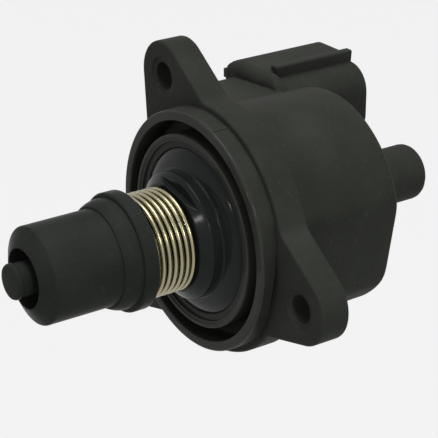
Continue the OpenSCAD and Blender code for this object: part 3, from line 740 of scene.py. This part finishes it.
def plastic(name, colour, roughness, fineness, bump, edge, rubbed_and_highlit, dust, specular=0.3, scratches=0.2, polish=0.0):
    """Moulded plastic with grain, softened edges that are slightly rubbed and painted lighter as a highlight,
    dust and scratches. A polish puts a thin gloss on what lies in front of the flange."""
    material, tree, shader, vector = new_material(name)
    grain = place(tree, GROUPS["grain"], vector, fineness=fineness).outputs
    edges = place(tree, GROUPS["edges"], vector, width=edge).outputs
    marks = place(tree, GROUPS["handling"], vector).outputs
    worn_and_highlit = tint(colour, 1.9, 0.012)
    base = mix(tree, grain["Tone"], tint(colour, 0.86), tint(colour, 1.12, 0.002))
    # The edges are painted lighter: partly rubbed wear, partly a painted highlight.
    base = mix_by(tree, edges["Mask"], rubbed_and_highlit, base, worn_and_highlit)
    base = mix_by(tree, marks["Dust"], dust, base, tint(colour, 0.75, 0.055))
    base = mix_by(tree, marks["Scratches"], scratches, base, worn_and_highlit)
    tree.links.new(base, shader.inputs["Base Color"])
    rough = math_node(tree, "MULTIPLY_ADD", grain["Tone"], 0.06, roughness - 0.03)
    rough = math_node(tree, "MULTIPLY_ADD", marks["Dust"], 0.12, rough)
    rough = math_node(tree, "MULTIPLY_ADD", marks["Scratches"], 0.1, rough)
    tree.links.new(rough, shader.inputs["Roughness"])
    if polish:
        y = add(tree, "ShaderNodeSeparateXYZ", {0: vector}).outputs["Y"]
        ahead = ramp(tree, y, POLISH_START * MM, POLISH_FULL * MM)
        tree.links.new(math_node(tree, "MULTIPLY", ahead, polish), shader.inputs["Coat Weight"])
        shader.inputs["Coat Roughness"].default_value = POLISH_ROUGHNESS
    lift = math_node(tree, "MULTIPLY_ADD", marks["Scratches"], -0.6, grain["Height"])
    set_relief(tree, shader, lift, bump, PLASTIC_RELIEF, Normal=edges["Normal"])
    shader.inputs["Specular IOR Level"].default_value = specular
    return material


def metal(name, colour, roughness, pitch=9000.0, bump=0.15, edge=0.0001):
    """Bare metal with tool marks, edges painted brighter as wear and as a highlight, and a thin uneven film."""
    material, tree, shader, vector = new_material(name)
    tool = place(tree, GROUPS["turning"], vector, pitch=pitch).outputs
    edges = place(tree, GROUPS["edges"], vector, width=edge).outputs
    marks = place(tree, GROUPS["handling"], vector).outputs
    film = tuple(c * s for c, s in zip(colour, FILM))
    base = mix(tree, tool["Cloud"], tint(colour, 0.9), tint(colour, 1.06))
    base = mix_by(tree, marks["Dust"], 0.15, base, film)
    # The edges are painted brighter: partly wear, partly a painted highlight.
    base = mix_by(tree, edges["Mask"], 0.5, base, tint(colour, 1.15))
    tree.links.new(base, shader.inputs["Base Color"])
    rough = math_node(tree, "MULTIPLY_ADD", tool["Lines"], 0.12, roughness - 0.06)
    rough = math_node(tree, "MULTIPLY_ADD", marks["Dust"], 0.1, rough)
    tree.links.new(rough, shader.inputs["Roughness"])
    set_relief(tree, shader, tool["Lines"], bump, METAL_RELIEF, Normal=edges["Normal"])
    shader.inputs["Metallic"].default_value = 1.0
    return material


def windings(name, colour):
    """Enamelled wire laid in close layers round the bobbin, with painted shade in the gaps between turns."""
    material, tree, shader, vector = new_material(name)
    along = add(tree, "ShaderNodeSeparateXYZ", {0: vector}).outputs["Y"]
    lines = math_node(tree, "SINE", math_node(tree, "MULTIPLY", along, 2 * math.pi / WIRE_PITCH))
    marks = place(tree, GROUPS["handling"], vector).outputs
    tone = ramp(tree, lines, -1.0, 0.6)
    # The gaps between the turns are painted darker: painted shade between the wires.
    base = mix(tree, tone, tint(colour, 0.35), colour)
    base = mix_by(tree, marks["Dust"], 0.2, base, tint(colour, 0.6))
    tree.links.new(base, shader.inputs["Base Color"])
    tree.links.new(ramp(tree, tone, 0.0, 1.0, 0.45, 0.28), shader.inputs["Roughness"])
    set_relief(tree, shader, tone, 0.6, WIRE_RELIEF)
    shader.inputs["Metallic"].default_value = 0.85
    return material


def paint(obj, material):
    obj.data.materials.clear()
    obj.data.materials.append(material)


# Floor, world and lamps: pale paper for the camera and for reflections, and a plain soft light for the object

PAPER, WORLD_TINT, WORLD_LIGHT = (0.888, 0.888, 0.888), (0.95, 0.97, 1.0), 0.34
FLOOR_PAPER, FLOOR_GREY, FLOOR_SHARE = (0.914, 0.914, 0.914), (0.74, 0.74, 0.74), 0.93
FLOOR_Z, FLOOR_HALF = -0.11, 4
LAMP_AIM = (0, -0.005, 0)
# Name, place, diameter in metres and power in watts
LAMPS = (
    ("top_lamp", (-0.02, 0.0, 0.62), 0.5, 2.75),
    ("side_lamp", (0.50, -0.05, 0.30), 0.12, 0.9),
    ("front_lamp", (0.102, -0.669, 0.21), 0.045, 0.42))


def camera_or_glossy(tree):
    """1 for rays of the camera, of reflections and through glass, and 0 for the light on the object."""
    path = add(tree, "ShaderNodeLightPath")
    seen = math_node(tree, "MAXIMUM", path.outputs["Is Camera Ray"], path.outputs["Is Glossy Ray"])
    return math_node(tree, "MAXIMUM", seen, path.outputs["Is Transmission Ray"])


def make_world():
    world = bpy.data.worlds.new("studio")
    bpy.context.scene.world = world
    world.use_nodes = True
    tree = world.node_tree
    tree.nodes.clear()
    light = add(tree, "ShaderNodeBackground", {"Color": (*WORLD_TINT, 1), "Strength": WORLD_LIGHT})
    paper = add(tree, "ShaderNodeBackground", {"Color": (*PAPER, 1), "Strength": 1.0})
    both = add(tree, "ShaderNodeMixShader", {0: camera_or_glossy(tree), 1: light.outputs[0], 2: paper.outputs[0]})
    add(tree, "ShaderNodeOutputWorld", {"Surface": both.outputs[0]})


def make_floor():
    material = bpy.data.materials.new("pale_floor")
    material.use_nodes = True
    tree = material.node_tree
    tree.nodes.clear()
    matt = add(tree, "ShaderNodeBsdfDiffuse", {"Color": (*FLOOR_GREY, 1)})
    paper = add(tree, "ShaderNodeEmission", {"Color": (*FLOOR_PAPER, 1), "Strength": 1.0})
    share = math_node(tree, "MULTIPLY", camera_or_glossy(tree), FLOOR_SHARE)
    both = add(tree, "ShaderNodeMixShader", {0: share, 1: matt.outputs[0], 2: paper.outputs[0]})
    add(tree, "ShaderNodeOutputMaterial", {"Surface": both.outputs[0]})
    bm = bmesh.new()
    bmesh.ops.create_grid(bm, x_segments=1, y_segments=1, size=FLOOR_HALF)
    mesh = bpy.data.meshes.new("floor")
    bm.to_mesh(mesh)
    bm.free()
    floor = add_object("floor", mesh)
    floor.location = (0, 0, FLOOR_Z)
    paint(floor, material)


def make_lamps():
    for name, where, size, power in LAMPS:
        data = bpy.data.lights.new(name, "AREA")
        data.shape = "DISK"
        data.size = size
        data.energy = power
        lamp = add_object(name, data)
        lamp.location = where
        lamp.rotation_mode = "QUATERNION"
        lamp.rotation_quaternion = (Vector(where) - Vector(LAMP_AIM)).to_track_quat("Z", "Y")


# Assembly

make_camera()
make_world()
make_floor()
make_lamps()

GROUPS = {"grain": grain_group(), "edges": edge_group(), "handling": handling_group(), "turning": turning_group()}

black = plastic("black_moulding", (0.032, 0.034, 0.0285), roughness=0.48, fineness=4200.0, bump=0.12,
                edge=0.0004, rubbed_and_highlit=0.25, dust=0.08, specular=0.015, polish=0.17)
pintle_black = plastic("pintle_black", (0.022, 0.025, 0.0205), roughness=0.3, fineness=5200.0, bump=0.06,
                       edge=0.0002, rubbed_and_highlit=0.3, dust=0.08, specular=0.012)
screw_black = plastic("screw_black", (0.020, 0.023, 0.019), roughness=0.36, fineness=5200.0, bump=0.06,
                      edge=0.0001, rubbed_and_highlit=0.25, dust=0.1, specular=0.012)
gloss = plastic("gloss_black", (0.0125, 0.0145, 0.0134), roughness=0.13, fineness=2600.0, bump=0.02,
                edge=0.0002, rubbed_and_highlit=0.15, dust=0.04, specular=0.08, scratches=0.03)
wire = metal("spring_wire", (0.36, 0.335, 0.215), roughness=0.24, pitch=7000.0, bump=0.1, edge=0.00005)
bright = metal("ground_steel", (0.56, 0.57, 0.58), roughness=0.3)
zinc = metal("zinc_sheet", (0.52, 0.53, 0.54), roughness=0.42, pitch=4000.0)
brass = metal("turned_brass", (0.75, 0.58, 0.26), roughness=0.3)
tin = metal("tin_plate", (0.7, 0.71, 0.72), roughness=0.3, pitch=6000.0)
magnet = plastic("sintered_magnet", (0.05, 0.048, 0.045), roughness=0.6, fineness=2500.0, bump=0.4,
                 edge=0.0002, rubbed_and_highlit=0.5, dust=0.3)
nylon = plastic("natural_nylon", (0.68, 0.64, 0.52), roughness=0.4, fineness=2500.0, bump=0.1,
                edge=0.0002, rubbed_and_highlit=0.1, dust=0.1, specular=0.45)
copper = windings("enamelled_copper", (0.66, 0.27, 0.12))

housing = make_housing()
paint(housing, black)
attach(housing, "valve_body")
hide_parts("housing")

cover = make_cover()
paint(cover, gloss)
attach(cover, "valve_body")
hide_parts("front_plate")

pintle = make_pintle()
paint(pintle, pintle_black)
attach(pintle, "plunger")
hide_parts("pintle")

screw = make_spindle()
paint(screw, screw_black)
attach(screw, "plunger")
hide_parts("spindle")

spring = make_spring()
paint(spring, wire)
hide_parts("return_spring")

finishes = {
    "rotor_magnet": magnet, "rotor_nut": brass, "bearing_outer_ring": bright, "bearing_inner_ring": bright,
    "bearing_balls": bright, "bearing_cage": brass, "rear_bush": brass, "thrust_washer": bright,
    "wave_washer": bright, "front_cup": zinc, "front_claw_plate": zinc, "rear_claw_plate": zinc,
    "rear_cup": zinc, "front_bobbin": nylon, "rear_bobbin": nylon, "front_winding": copper,
    "rear_winding": copper, **{f"terminal_{i}": tin for i in range(1, 7)}}
for name, finish in finishes.items():
    paint(nodes[name], finish)

bpy.context.scene.view_settings.view_transform = "Standard"
